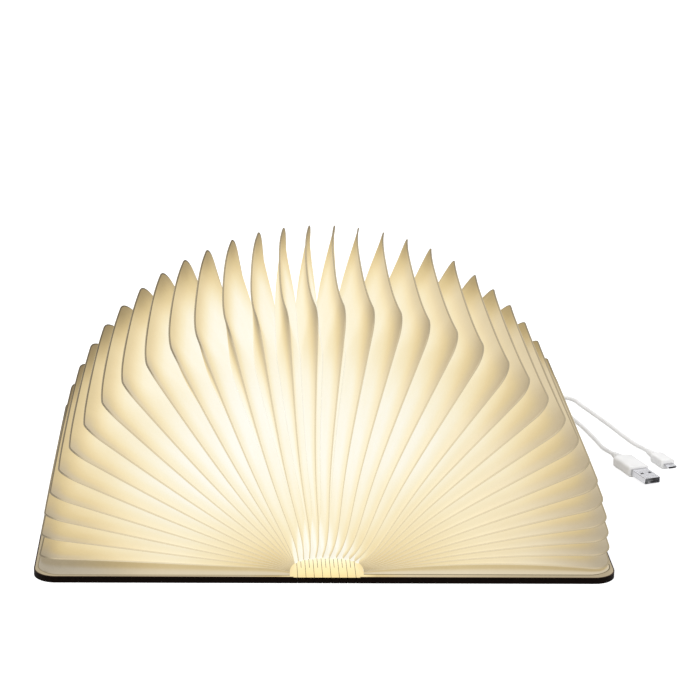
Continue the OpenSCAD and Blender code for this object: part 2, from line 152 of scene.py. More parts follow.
class Shader:
    # a material's node tree with short calls for the nodes this scene uses
    def __init__(self, name):
        self.material = bpy.data.materials.new(name)
        self.material.use_nodes = True
        self.nodes = self.material.node_tree.nodes
        self.links = self.material.node_tree.links
        self.body = self.nodes["Principled BSDF"]

    def add(self, kind, **settings):
        node = self.nodes.new(kind)
        for key, value in settings.items():
            setattr(node, key, value)
        return node

    def link(self, source, target):
        self.links.new(source, target)

    def place(self, scale=(1, 1, 1)):
        # object coordinates, stretched by a Mapping node
        texture = self.add("ShaderNodeTexCoord")
        mapping = self.add("ShaderNodeMapping")
        mapping.inputs["Scale"].default_value = scale
        self.link(texture.outputs["Object"], mapping.inputs["Vector"])
        return mapping.outputs["Vector"]

    def axes(self, space="Object"):
        # the X, Y and Z of a coordinate that Blender gives
        texture = self.add("ShaderNodeTexCoord")
        split = self.add("ShaderNodeSeparateXYZ")
        self.link(texture.outputs[space], split.inputs["Vector"])
        return split.outputs

    def noise(self, vector, scale, detail=4.0, roughness=0.5, distortion=0.0):
        node = self.add("ShaderNodeTexNoise")
        node.inputs["Scale"].default_value = scale
        node.inputs["Detail"].default_value = detail
        node.inputs["Roughness"].default_value = roughness
        node.inputs["Distortion"].default_value = distortion
        self.link(vector, node.inputs["Vector"])
        return node.outputs["Fac"]

    def ramp(self, factor, stops):
        node = self.add("ShaderNodeValToRGB")
        ramp = node.color_ramp
        while len(ramp.elements) < len(stops):
            ramp.elements.new(0.5)
        for element, (position, colour) in zip(ramp.elements, stops):
            element.position = position
            element.color = (*colour, 1.0)
        self.link(factor, node.inputs["Fac"])
        return node.outputs["Color"]

    def mapped(self, value, low, high, outLow=0.0, outHigh=1.0):
        node = self.add("ShaderNodeMapRange")
        node.inputs["From Min"].default_value = low
        node.inputs["From Max"].default_value = high
        node.inputs["To Min"].default_value = outLow
        node.inputs["To Max"].default_value = outHigh
        self.link(value, node.inputs["Value"])
        return node.outputs["Result"]

    def math(self, operation, a, b=None):
        node = self.add("ShaderNodeMath", operation=operation)
        for socket, value in zip(node.inputs, (a, b)):
            if value is None:
                continue
            if isinstance(value, (int, float)):
                socket.default_value = value
            else:
                self.link(value, socket)
        return node.outputs["Value"]

    def mix(self, factor, a, b, blend="MIX"):
        node = self.add("ShaderNodeMix", data_type="RGBA", blend_type=blend)
        for socket, value in ((node.inputs[0], factor), (node.inputs[6], a), (node.inputs[7], b)):
            if isinstance(value, (int, float)):
                socket.default_value = value
            elif isinstance(value, tuple):
                socket.default_value = (*value, 1.0)
            else:
                self.link(value, socket)
        return node.outputs[2]

    def attribute(self, name):
        return self.add("ShaderNodeAttribute", attribute_name=name).outputs["Fac"]

    def bump(self, height, distance, strength=1.0):
        node = self.add("ShaderNodeBump")
        node.inputs["Distance"].default_value = distance
        node.inputs["Strength"].default_value = strength
        self.link(height, node.inputs["Height"])
        self.link(node.outputs["Normal"], self.body.inputs["Normal"])

    def set(self, **values):
        for key, value in values.items():
            self.body.inputs[key.replace("_", " ")].default_value = value


def linear(r, g, b):
    # a colour given as it looks on screen, 0 to 255, as scene-linear values
    c = np.array([r, g, b]) / 255.0
    c = np.where(c <= 0.04045, c / 12.92, ((c + 0.055) / 1.055) ** 2.4)
    return tuple(float(x) for x in c)


# finishes

paperLook = {
    "reflect": 0.20,        # share of the look that comes from light falling on the paper
    "glow": 0.78,           # share that comes from the lamplight in it
    "liningGlow": 0.95,     # the same on the lining, which lies close to the bar
    "golden": [(0.0, (105, 90, 62)), (0.12, (135, 117, 84)), (0.25, (168, 149, 108)),
               (0.40, (200, 179, 133)), (0.52, (220, 200, 153)), (0.65, (235, 216, 172)),
               (0.76, (245, 230, 192)), (0.86, (250, 240, 212)), (0.94, (253, 248, 232)),
               (1.0, (255, 254, 250))],
    "grey": [(0.0, (98, 92, 80)), (0.25, (168, 158, 139)), (0.45, (206, 193, 168)),
             (0.60, (221, 209, 183)), (0.80, (238, 230, 208)), (1.0, (253, 250, 240))],
    "warmTint": (1.0, 0.97, 0.80),
    "fibre": 420.0,         # fibre pattern, cycles per metre
    "clouds": 26.0,         # cycles per metre
    "fibreMottle": 0.02,    # how far each changes the level
    "cloudMottle": 0.025,
    "roughness": 0.78,
    "specular": 0.25,
    "fibreHeight": 0.00012,  # m
}


def glowingPaper(name, source, glow):
    # spunbonded paper: its colour goes by how much lamplight reaches it and how cool that
    # light is, mottled by its fibres
    s = Shader(name)
    place = s.place()
    fibres = s.noise(place, paperLook["fibre"], 6.0, 0.62, 1.4)
    clouds = s.noise(place, paperLook["clouds"], 3.0, 0.5)
    level, cool = source(s)
    for pattern, mottle in ((fibres, paperLook["fibreMottle"]), (clouds, paperLook["cloudMottle"])):
        level = s.math("ADD", level, s.mapped(pattern, 0.2, 0.8, -mottle, mottle))
    golden, grey = (s.ramp(level, [(at, linear(*c)) for at, c in paperLook[key]])
                    for key in ("golden", "grey"))
    colour = s.mix(s.mapped(cool, 0.0, 1.0), golden, grey)
    warmed = s.mix(1.0, colour, paperLook["warmTint"], "MULTIPLY")
    colour = s.mix(s.mapped(cool, 0.0, -1.0), colour, warmed)
    s.link(s.mix(1.0, colour, (paperLook["reflect"],) * 3, "MULTIPLY"), s.body.inputs["Base Color"])
    s.link(colour, s.body.inputs["Emission Color"])
    s.set(Emission_Strength=glow, Roughness=paperLook["roughness"])
    s.body.inputs["Specular IOR Level"].default_value = paperLook["specular"]
    s.bump(fibres, paperLook["fibreHeight"], 0.5)
    return s.material


woodLook = {
    "stretch": 0.07,        # cycles along the grain for one across it
    "figure": 55.0,         # cycles per metre across it
    "pores": 900.0,
    "grain": [(0.25, (34, 20, 13)), (0.5, (60, 37, 25)), (0.62, (47, 28, 19)), (0.8, (80, 52, 35))],
    "burnt": ((5, 2, 1), (15, 7, 4)),   # the cut edges
    "specular": (0.12, 0.03),           # faces, cut edges
    "poreDepth": 0.00015,   # m
}


def woodFinish(name):
    # dark stained wood with the grain along the spine; cut edges are burnt nearly black
    s = Shader(name)
    stretched = s.place(scale=(1.0, woodLook["stretch"], 1.0))
    figure = s.noise(stretched, woodLook["figure"], 5.0, 0.6, 1.8)
    pores = s.noise(stretched, woodLook["pores"], 2.0, 0.6)
    grain = s.ramp(figure, [(at, linear(*c)) for at, c in woodLook["grain"]])
    darkPores = s.mapped(pores, 0.3, 0.62, 0.55, 1.0)
    colour = s.mix(1.0, grain, s.ramp(darkPores, [(0.0, (0, 0, 0)), (1.0, (1, 1, 1))]), "MULTIPLY")
    edge = s.mapped(s.math("ABSOLUTE", s.axes("Normal")["Z"]), 0.3, 0.7, 1.0, 0.0)
    burnt = s.mix(s.mapped(pores, 0.3, 0.7), *(linear(*c) for c in woodLook["burnt"]))
    s.link(s.mix(edge, colour, burnt), s.body.inputs["Base Color"])
    s.link(s.mapped(pores, 0.3, 0.7, 0.66, 0.5), s.body.inputs["Roughness"])
    s.link(s.mapped(edge, 0.0, 1.0, *woodLook["specular"]), s.body.inputs["Specular IOR Level"])
    s.bump(pores, woodLook["poreDepth"], 0.6)
    return s.material


def plasticFinish(name, colour, roughness, mottle=0.02, grainScale=2600.0, coat=0.0):
    # moulded plastic: an almost even colour with a fine spark-eroded grain
    s = Shader(name)
    place = s.place()
    fine = s.noise(place, grainScale, 3.0, 0.6)
    broad = s.noise(place, 90.0, 2.0, 0.5)
    shade = tuple(c * (1.0 - 4.0 * mottle) for c in linear(*colour))
    s.link(s.mix(s.mapped(broad, 0.3, 0.7), shade, linear(*colour)), s.body.inputs["Base Color"])
    s.link(s.mapped(fine, 0.2, 0.8, roughness - 0.06, roughness + 0.06), s.body.inputs["Roughness"])
    s.body.inputs["Coat Weight"].default_value = coat
    s.bump(fine, 0.00004, 0.5)
    return s.material


def metalFinish(name, colour, roughness, stretch=(1.0, 1.0, 1.0)):
    # plated or extruded metal with fine drawn lines
    s = Shader(name)
    lines = s.noise(s.place(scale=stretch), 1400.0, 4.0, 0.6)
    dark = tuple(c * 0.86 for c in linear(*colour))
    s.link(s.mix(lines, dark, linear(*colour)), s.body.inputs["Base Color"])
    s.link(s.mapped(lines, 0.3, 0.7, roughness - 0.07, roughness + 0.07), s.body.inputs["Roughness"])
    s.set(Metallic=1.0)
    s.bump(lines, 0.00002, 0.4)
    return s.material


diodePitch = 0.0104  # m


def litFinish(name, colour, strength):
    # opal plastic with the diodes' light in it, a little brighter over each diode
    s = Shader(name)
    wave = s.math("COSINE", s.math("MULTIPLY", s.axes()["Y"], 2.0 * math.pi / diodePitch))
    s.link(s.mix(s.mapped(wave, -1.0, 1.0), tuple(0.9 * c for c in linear(*colour)), linear(*colour)),
           s.body.inputs["Emission Color"])
    fine = s.noise(s.place(), 1800.0, 3.0, 0.6)
    s.link(s.mix(fine, linear(*colour), (0.9, 0.88, 0.8)), s.body.inputs["Base Color"])
    s.set(Emission_Strength=strength, Roughness=0.45)
    return s.material


def bellowsLight(s):
    return s.attribute("glow"), s.attribute("cool")


liningLight = {
    # two distances from the middle, m, and the value at each
    "ends": (0.08, 0.1075, 0.92, 0.62),     # level along the spine
    "near": (0.013, 0.031, 0.95, 0.42),     # level across it
    "fade": (0.034, 0.13, 0.0, 0.17),       # taken off it further out
    "cool": (0.014, 0.05, -1.0, 0.6),
}


def coverLight(s):
    # bright warm light on the lining round the bar, a little less at the very ends of the
    # spine, fading and cooling towards the fore-edges
    place = s.axes()
    away = s.math("ABSOLUTE", place["X"])
    ends = s.mapped(s.math("ABSOLUTE", place["Y"]), *liningLight["ends"])
    near = s.math("MINIMUM", ends, s.mapped(away, *liningLight["near"]))
    level = s.math("SUBTRACT", near, s.mapped(away, *liningLight["fade"]))
    return level, s.mapped(away, *liningLight["cool"])


finishes = {
    "bellows": glowingPaper("bellowsPaper", bellowsLight, paperLook["glow"]),
    "lining": glowingPaper("liningPaper", coverLight, paperLook["liningGlow"]),
    "wood": woodFinish("stainedWood"),
    "leadWhite": plasticFinish("leadWhite", (236, 236, 236), 0.42),
    "capWhite": plasticFinish("capWhite", (232, 231, 226), 0.5),
    "black": plasticFinish("blackCompound", (30, 30, 32), 0.55),
    "tape": plasticFinish("tapeFoam", (44, 44, 44), 0.9, grainScale=1500.0),
    "board": plasticFinish("boardMask", (238, 238, 230), 0.35, coat=0.4),
    "tongue": plasticFinish("tongueWhite", (240, 240, 238), 0.3),
    "steel": metalFinish("platedSteel", (196, 196, 200), 0.26, (1.0, 8.0, 8.0)),
    "aluminium": metalFinish("extrudedAluminium", (206, 207, 206), 0.34, (8.0, 1.0, 8.0)),
    "nickel": metalFinish("nickelDisc", (204, 202, 196), 0.22),
    "foil": metalFinish("pouchFoil", (200, 202, 204), 0.38, (3.0, 3.0, 3.0)),
    "gold": metalFinish("goldContact", (222, 184, 108), 0.24),
    "opal": litFinish("opalDiffuser", (255, 250, 228), 1.0),
    "phosphor": litFinish("diodePhosphor", (255, 238, 190), 1.0),
}


def dress(obj, finish):
    obj.data.materials.clear()
    obj.data.materials.append(finishes[finish])
    return obj


nodeFinishes = {
    "cover_left": "wood", "cover_right": "wood", "lining_left": "lining", "lining_right": "lining",
    "magnets_left": "nickel", "magnets_right": "nickel", "bar_tape": "tape",
    "light_bar_tray": "aluminium", "light_bar_diffuser": "opal", "front_end_cap": "capWhite",
    "rear_end_cap": "capWhite", "led_board": "board", "leds": "phosphor", "battery_cell": "foil",
    "magnetic_switch": "black", "charge_controller": "black", "micro_usb_socket": "steel",
    "micro_plug_tip": "steel", "usb_plug_shell": "steel", "usb_plug_tongue": "tongue",
}
nodeObjects = {name: bpy.data.objects[name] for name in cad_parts}
for nodeName, finishName in nodeFinishes.items():
    for materialSlot in nodeObjects[nodeName].material_slots:
        materialSlot.material = finishes[finishName]
print("finishes made")

# charging lead

lead = {
    "diameter": 3.0,
    "sides": 16,
    "plugTurn": -70.0,      # direction of both plugs, degrees from +X
    "stepsPerSpan": 5,
    "route": [              # mm, from the small plug's cord entry round the loop to the large one's
        (238, 120, 3.4), (236, 127, 2.9), (233.5, 135, 2), (230.5, 144, 1.5), (227, 155, 1.5),
        (223.5, 167, 1.5), (220, 179, 1.5), (216, 191.5, 1.5), (212, 204, 1.5), (208, 216, 1.5),
        (204.5, 226.5, 1.5), (202.5, 233.5, 1.5), (199, 239, 1.5), (194.5, 241.5, 1.5),
        (190, 240, 1.5), (187, 235.5, 1.5), (186.5, 229, 1.5), (188, 219, 1.5),
        (191, 207, 1.5), (194.5, 194, 1.5), (198, 181, 1.5), (201, 168, 1.5),
        (203.5, 155, 1.5), (205.5, 144, 1.5), (207, 134, 1.6), (208.5, 125, 2.6),
        (210, 118, 3.6), (212, 112, 4.0)],
}


def smoothRoute(route, steps):
    # Catmull-Rom curve through the route's points: a cubic between each pair of neighbours
    p = np.array(route, float)
    padded = np.concatenate([[2 * p[0] - p[1]], p, [2 * p[-1] - p[-2]]])
    a, b, c, d = padded[:-3], padded[1:-2], padded[2:-1], padded[3:]
    t = (np.arange(steps) / steps)[None, :, None]
    a, b, c, d = (x[:, None, :] for x in (a, b, c, d))
    curve = 0.5 * (2 * b + (c - a) * t + (2 * a - 5 * b + 4 * c - d) * t ** 2
                   + (3 * b - a - 3 * c + d) * t ** 3)
    return np.concatenate([curve.reshape(-1, 3), p[-1:]])


def sweptTube(path, radius, sides):
    # a ring of the given radius round every point of the path, square to it
    along = np.gradient(path, axis=0)
    along /= np.linalg.norm(along, axis=1, keepdims=True)
    across = np.cross((0.0, 0.0, 1.0), along)
    across /= np.linalg.norm(across, axis=1, keepdims=True)
    over = np.cross(along, across)
    turn = (np.arange(sides) + 0.5) * 2 * np.pi / sides
    rings = path[:, None, :] + radius * (np.cos(turn)[None, :, None] * across[:, None, :]
                                         + np.sin(turn)[None, :, None] * over[:, None, :])
    faces = gridFaces(len(path), sides, closeColumns=True, flip=True).tolist()
    last = (len(path) - 1) * sides
    caps = [list(range(sides)), list(range(last, last + sides))[::-1]]
    return rings.reshape(-1, 3), faces + caps


leadPath = smoothRoute(lead["route"], lead["stepsPerSpan"]) * mm
leadPoints, leadFaces = sweptTube(leadPath, lead["diameter"] / 2 * mm, lead["sides"])
leadTube = dress(meshObject("leadTube", leadPoints, leadFaces), "leadWhite")
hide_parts("charging_lead")
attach(leadTube, "spine")


def toPlug(points, entry):
    # from a plug's own frame, +X out of the cord entry, to its place on the floor
    turn = math.radians(lead["plugTurn"])
    x, y, z = points[..., 0], points[..., 1], points[..., 2]
    return np.stack([entry[0] + x * math.cos(turn) - y * math.sin(turn),
                     entry[1] + x * math.sin(turn) + y * math.cos(turn), entry[2] + z], -1)


plugs = {
    "micro": {"entry": lead["route"][0], "width": 10.4, "height": 6.8, "body": 17.0,
              "relief": 11.0, "neck": 2.0, "collar": 3.1, "ribs": 5},
    "usb": {"entry": lead["route"][-1], "width": 15.6, "height": 8.0, "body": 25.0,
            "relief": 11.0, "neck": 2.1, "collar": 3.5, "ribs": 5},
}
moulding = {
    "stations": (90, 60),   # sections along the relief and along the body
    "sides": 48,
    "ribDepth": 0.42,       # mm
    "shoulder": 0.12,       # share of the body that rounds out from the collar
    "nose": 0.035,          # share of it that rounds in at the front
    "waist": 0.035,         # how much narrower its middle is
    "flatter": 0.3,         # mm, how much lower than the collar it starts
}


def plugMoulding(name, plug, node):
    # superellipse sections along the plug: round and ribbed on the relief, squarer on the body,
    # |y / width| ** power + |z / height| ** power = 1
    (onRelief, onFront), sides = moulding["stations"], moulding["sides"]
    stations = np.concatenate([np.linspace(0, plug["relief"], onRelief),
                               plug["relief"] + plug["body"] * (0.5 - 0.5 * np.cos(
                                   np.linspace(0.02, np.pi, onFront)))])
    onBody = stations > plug["relief"]
    share = np.clip(stations / plug["relief"], 0, 1)
    ribWave = smoothStep(0.25, 0.75, 0.5 + 0.5 * np.cos(2 * np.pi * (share * plug["ribs"] - 0.5)))
    relief = plug["neck"] + (plug["collar"] - plug["neck"]) * share
    relief = relief - moulding["ribDepth"] * (1 - ribWave) * (share < 0.99)
    inBody = np.clip((stations - plug["relief"]) / plug["body"], 0, 1)
    shoulder = np.sqrt(np.clip(1 - (1 - np.clip(inBody / moulding["shoulder"], 0, 1)) ** 2, 0, 1))
    nose = np.clip((inBody - 1 + moulding["nose"]) / moulding["nose"], 0, 1)
    front = np.sqrt(1 - nose ** 2 * 0.35)
    waist = 1 - moulding["waist"] * np.sin(np.pi * np.clip((inBody - 0.15) / 0.6, 0, 1)) ** 2
    startWidth, startHeight = plug["collar"], plug["collar"] - moulding["flatter"]
    halfWidth = np.where(onBody, startWidth + (plug["width"] / 2 - startWidth) * shoulder, relief)
    halfHeight = np.where(onBody, startHeight + (plug["height"] / 2 - startHeight) * shoulder, relief)
    halfWidth, halfHeight = halfWidth * front * waist, halfHeight * front
    power = np.where(onBody, 2.0 + 2.6 * shoulder, 2.0)[:, None]
    turn = (np.arange(sides) / sides * 2 * np.pi)[None, :]
    y = halfWidth[:, None] * np.sign(np.cos(turn)) * np.abs(np.cos(turn)) ** (2 / power)
    z = halfHeight[:, None] * np.sign(np.sin(turn)) * np.abs(np.sin(turn)) ** (2 / power)
    x = np.broadcast_to(stations[:, None], y.shape)
    points = toPlug(np.stack([x, y, z], -1), plug["entry"]).reshape(-1, 3) * mm
    faces = gridFaces(len(stations), sides, closeColumns=True, flip=True).tolist()
    last = (len(stations) - 1) * sides
    faces += [list(range(sides))[::-1], list(range(last, last + sides))]
    body = dress(meshObject(name, points, faces), "leadWhite")
    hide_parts(node)
    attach(body, "spine")
    return body


microMoulding = plugMoulding("microMoulding", plugs["micro"], "micro_plug_body")
usbMoulding = plugMoulding("usbMoulding", plugs["usb"], "usb_plug_body")


def slabPoints(x0, x1, y0, y1, z0, z1):
    x, y, z = np.meshgrid((x0, x1), (y0, y1), (z0, z1), indexing="ij")
    return np.stack([x.ravel(), y.ravel(), z.ravel()], -1)


slabFaces = np.array([[0, 1, 3, 2], [4, 6, 7, 5], [0, 4, 5, 1], [2, 3, 7, 6], [0, 2, 6, 4], [1, 5, 7, 3]])

contacts = {"count": 4, "length": 7.2, "width": 1.1, "pitch": 2.35, "start": 37.6,
            "z": (-0.10, 0.07), "bevel": 0.04}  # mm


def usbContacts():
    # plated strips on the tongue of the large plug
    corners, faces = [], []
    start, half = contacts["start"], contacts["width"] / 2
    for k in range(contacts["count"]):
        y = (k - (contacts["count"] - 1) / 2) * contacts["pitch"]
        corners.append(slabPoints(start, start + contacts["length"], y - half, y + half, *contacts["z"]))
        faces.append(slabFaces + 8 * k)
    points = toPlug(np.concatenate(corners), plugs["usb"]["entry"]) * mm
    strips = dress(meshObject("usbContacts", points, np.concatenate(faces), smooth=False), "gold")
    bevel = strips.modifiers.new("edge", "BEVEL")
    bevel.width, bevel.segments = contacts["bevel"] * mm, 2
    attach(strips, "spine")
    return strips


usbStrips = usbContacts()

# bellows

bellows = {
    "cornerRadius": 13.0,   # mm, outer corners of a pleat
    "inset": 43.0,          # mm from a pleat's edge to the seam in the valley beside it
    "valleyRadius": 6.0,
    "leafOffset": 0.16,     # mm from the middle of a pleat to the inside of its leaves
    "leafThickness": 0.10,
    "creaseRadius": 0.50,   # mm, half the thickness of the folded edge
    "creaseDepth": 0.8,     # mm, how far the folded edge shows on the leaves
    "creaseTail": 0.5,      # mm more, tapering between the leaves
    "curl": (-6.9, 1.0, 2.2, -0.2, 3.0),  # mm at the fore-edge, for powers 0 to 4 of y
    "curlOutwards": (1.0, -3.0, -1.8),    # mm more where a pleat lies to the right
    # mm, for powers 0 to 3 of a pleat's place, from -1 at the left to 1 at the right:
    "hubLean": (2.35, 2.74, -1.84, -3.6),   # near the hinge
    "bow": (-2.31, 4.49, 0.76, -6.72),      # half way out
    "frontLean": (-1.08, 1.66, 4.24, -2.51),  # at the front corner
    "waver": 0.25,          # mm, how unlike the curls of two pleats are
    "wave": 0.2,            # mm, a slow wave along the leaves
    "sink": 5.0,            # mm, how far the middle pleats reach down past their hinges
    "endGrow": 0.3,         # mm, how far outside its crest an end leaf is glued down
    "endGrowSides": (1.2, -0.8),  # mm, the same at the front and rear, left and right
    "flange": 0.7,          # mm, the strip of an end leaf that lies on the lining
    "flangeSink": 0.04,     # mm, how much lower it lies than the foot of the leaf
    "endFoot": 0.25,        # mm, that foot above the lining
    "endRadius": 14.0,
    "endBow": 0.9,          # mm
    "samples": (38, 12, 40),  # points along a side, round a corner and along the fore-edge
}


def pleatPlane(name):
    # a pleat's foot, direction, reach and half length, measured on its solid in the X-Z plane
    mesh = nodeObjects[name].data
    co = np.empty(len(mesh.vertices) * 3)
    mesh.vertices.foreach_get("co", co)
    co = co.reshape(-1, 3) / mm
    flat = co[:, [0, 2]]
    middle = (flat.min(0) + flat.max(0)) / 2
    direction = np.linalg.svd(flat - flat.mean(0))[2][0]
    direction = direction * np.sign(direction[1])
    reach = (flat - middle) @ direction
    normal = np.array([direction[1], -direction[0]])
    side = (flat - middle) @ normal
    foot = middle + direction * reach.min() + normal * (side.min() + side.max()) / 2
    return {"foot": foot, "direction": direction, "normal": normal,
            "reach": np.ptp(reach), "half": np.ptp(co[:, 1]) / 2}


pleatNames = sorted(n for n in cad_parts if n.startswith("pleat_"))
planes = [pleatPlane(n) for n in pleatNames]
pleatReach, pleatHalf = planes[0]["reach"], planes[0]["half"]


def borderOutline(reach, half, radius, samples):
    # reach and Y along a pleat's border: front side, corner, fore-edge, corner, rear side
    side, corner, edge = samples
    r = np.linspace(0, reach - radius, side, endpoint=False)
    a = np.linspace(0, np.pi / 2, corner, endpoint=False)
    y = np.linspace(-half + radius, half - radius, edge, endpoint=False)
    front = np.stack([r, np.full(side, -half)], -1)
    frontCorner = np.stack([reach - radius + radius * np.sin(a), -half + radius - radius * np.cos(a)], -1)
    fore = np.stack([np.full(edge, reach), y], -1)
    firstHalf = np.concatenate([front, frontCorner, fore[:edge // 2 + 1]])
    return np.concatenate([firstHalf, (firstHalf * (1, -1))[-2::-1]])


crestLine = borderOutline(pleatReach, pleatHalf, bellows["cornerRadius"], bellows["samples"])
valleyLine = borderOutline(pleatReach - bellows["inset"], pleatHalf - bellows["inset"],
                           bellows["valleyRadius"], bellows["samples"])
footHeights = np.array([plane["foot"][1] for plane in planes])
footRise = (footHeights - footHeights.min()) / np.ptp(footHeights)
for plane, rise in zip(planes, footRise):
    plane["sink"] = bellows["sink"] * rise ** 2


def curlOf(r, y, order):
    # how far a pleat leaves its plane. Its curl grows with the cube of the reach and follows a
    # polynomial from the front corner to the rear one; it also leans near the hinge, bows half
    # way out and leans again at its front corner, by polynomials of its place in the fan.
    share, lengthwise = r / pleatReach, y / pleatHalf
    outwards = planes[int(order)]["direction"][0]
    place = 2 * order / (len(planes) - 1) - 1

    def along(key, value):
        return sum(c * value ** power for power, c in enumerate(bellows[key]))

    curl = along("curl", lengthwise) + outwards * along("curlOutwards", lengthwise)
    curl = curl + bellows["waver"] * np.sin(2.4 * order + 2.0 * lengthwise)
    curl = curl + along("frontLean", place) * ((1 - lengthwise) / 2) ** 2
    lean = along("hubLean", place) * (r / 15) * np.exp(1 - r / 15)
    return share ** 3 * curl + lean + along("bow", place) * 4 * share * (1 - share)


def inPlane(plane, r, y, off, order):
    # points at reach r and Y y, lifted by off and by the curl along the plane's normal;
    # near the hinge they slide down by the plane's sink
    reach = r - plane["sink"] * np.exp(-r / 15.0)
    lift = (off + curlOf(r, y, order))[..., None]
    flat = plane["foot"] + reach[..., None] * plane["direction"] + lift * plane["normal"]
    return np.stack([flat[..., 0], y, flat[..., 1]], -1)


def between(a, b):
    direction = a["direction"] + b["direction"]
    direction = direction / np.linalg.norm(direction)
    return {"foot": (a["foot"] + b["foot"]) / 2, "direction": direction,
            "normal": np.array([direction[1], -direction[0]]),
            "sink": (a["sink"] + b["sink"]) / 2}


def distanceFrom(plane, points):
    # how far points lie from a pleat's plane, along its normal
    return (points[..., [0, 2]] - plane["foot"]) @ plane["normal"]


def gapShare(a, b, points):
    # share of the way from one pleat's plane to the next: below 0 or above 1 past them
    fromA, fromB = distanceFrom(a, points), distanceFrom(b, points)
    return fromA / (fromA - fromB)


depthSteps = np.array([0, 0.012, 0.03, 0.06, 0.11, 0.18, 0.27, 0.38, 0.5, 0.62, 0.74, 0.85, 0.94, 1.0])


def spread(u):
    # share of the way from the pleat's plane to the middle plane, at depth u below the crest
    return smoothStep(0.0, 1.0, u) * 0.35 + 0.65 * u ** 1.25


# how the lamplight spreads over a leaf: what each of leafLight's shares adds to its level, on
# leaves that face right (1) and left (-1)
lightLaw = {
    1: (0.87, -0.145, -0.16, -0.09, -0.24, 0.10, 0.12, 0.02, -0.17, -0.50, -0.10, -0.13, -0.32),
    -1: (0.86, -0.275, -0.06, -0.07, 0.05, 0.14, 0.15, -0.10, -0.16, -0.40, 0.03, -0.22, -0.28),
}
# how cool it is: everywhere, and added near the crest, at the hinge and at the rear; on leaves
# that face right also by a sheen at the front corner, on the others where a pleat lies low
coolLaw = {
    1: {"all": -0.24, "crest": 0.32, "hub": -0.2, "rear": -0.1, "sheen": 0.7},
    -1: {"all": -0.24, "crest": 0.65, "hub": -0.15, "rear": -0.3, "low": 0.5},
}
# the lit points between the feet of two pleats: level added, and how far out, mm
footGlow = {"level": 0.28, "reach": 6.0}


def leafLight(plane, r, y, depth, facing):
    # level, 0 to 1, of the lamplight on a leaf, and how cool it is. Light fades with the reach
    # and on pleats that lie low, and grows towards the valley and at the foot between pleats.
    outwards, low = plane["direction"][0], 1 - plane["direction"][1]
    far, foreEdge = smoothStep(60, 150, r), smoothStep(138, 154, r)
    turn, hub = smoothStep(0, 0.5, depth), np.exp(-r / 25)
    front = smoothStep(55, 100, -y) * smoothStep(100, 145, r)
    rear = smoothStep(15, 95, y) * smoothStep(90, 140, r)
    shares = (1, far, foreEdge, low, low * far, turn, turn * far, turn * low, hub, hub * low,
              outwards, front, rear)
    level = sum(c * share for c, share in zip(lightLaw[facing], shares))
    atFoot = smoothStep(0.02, 0.12, depth) * np.exp(-(r / footGlow["reach"]) ** 2)
    level = level + footGlow["level"] * atFoot * (1 - low)
    law = coolLaw[facing]
    cool = law["all"] + law["hub"] * hub + law["rear"] * rear
    if facing > 0:
        crest = (1 - smoothStep(0.05, 0.3, depth)) * smoothStep(60, 120, r)
        sheen = (1 - smoothStep(0.1, 0.24, depth)) * smoothStep(110, 150, r) * smoothStep(60, 100, -y)
        cool = cool + law["crest"] * crest + law["sheen"] * sheen
    else:
        crest = (1 - smoothStep(0.08, 0.35, depth)) * smoothStep(60, 125, r)
        cool = cool + (law["crest"] + law["low"] * low) * crest * (1 - rear)
    return np.clip(level, 0, 1), np.clip(cool, -1, 1)


def leafOutline(u):
    # reach and Y of the lines that run round a leaf at each depth u below the crest
    inward = u[None, :, None]
    outline = crestLine[:, None, :] * (1 - inward) + valleyLine[:, None, :] * inward
    return outline[..., 0], outline[..., 1]


def leafPoints(plane, middle, u, side, order, offset, bow):
    # a leaf from a crest (u 0) to the valley (u 1); its outline moves in with u
    r, y = leafOutline(u)
    share = spread(u)[None, :]
    wave = bow * np.sin(np.pi * u)[None, :] * np.sin(3 * np.pi * np.linspace(0, 1, len(r)))[:, None]
    onCrest = inPlane(plane, r, y, side * (offset * (1 - share) + wave), order)
    onMiddle = inPlane(middle, r, y, np.zeros(r.shape), order)
    return onCrest * (1 - share[..., None]) + onMiddle * share[..., None]


def paperPiece(name, points, faces, level, cool):
    obj = dress(meshObject(name, points * mm, faces), "bellows")
    addAttribute(obj, "glow", level)
    addAttribute(obj, "cool", cool)
    return obj


def blendPair(obj):
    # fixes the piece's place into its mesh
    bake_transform(obj)


def makeValley(k):
    # the two leaves between pleat k and the next, and the inner fold that joins their feet
    a, b = planes[k], planes[k + 1]
    middle = between(a, b)

    def grid(offset, bow):
        first = leafPoints(a, middle, depthSteps, 1.0, k, offset, bow)
        second = leafPoints(b, middle, depthSteps[::-1], -1.0, k + 1, offset, bow)[:, 1:]
        return np.concatenate([first, second], 1)

    points, faces = sheetShell(grid(bellows["leafOffset"], bellows["wave"]), bellows["leafThickness"])
    weights = gapShare(a, b, grid(0.0, 0.0)).ravel()
    light = [leafLight(plane, *leafOutline(u), u[None, :], facing)
             for plane, u, facing in ((a, depthSteps, 1), (b, depthSteps[::-1][1:], -1))]
    level, cool = (np.concatenate(both, 1).ravel() for both in zip(*light))
    fold, foldFaces, foldWeights = innerFold(a, b, middle)
    glowing = np.full(len(fold), 1.0)
    obj = paperPiece("valley_%02d" % (k + 1), np.concatenate([points, fold]),
                     np.concatenate([faces, foldFaces + len(points)]),
                     np.concatenate([level, level, glowing]),
                     np.concatenate([cool, cool, -0.5 * glowing]))
    blendPair(obj)
    return obj


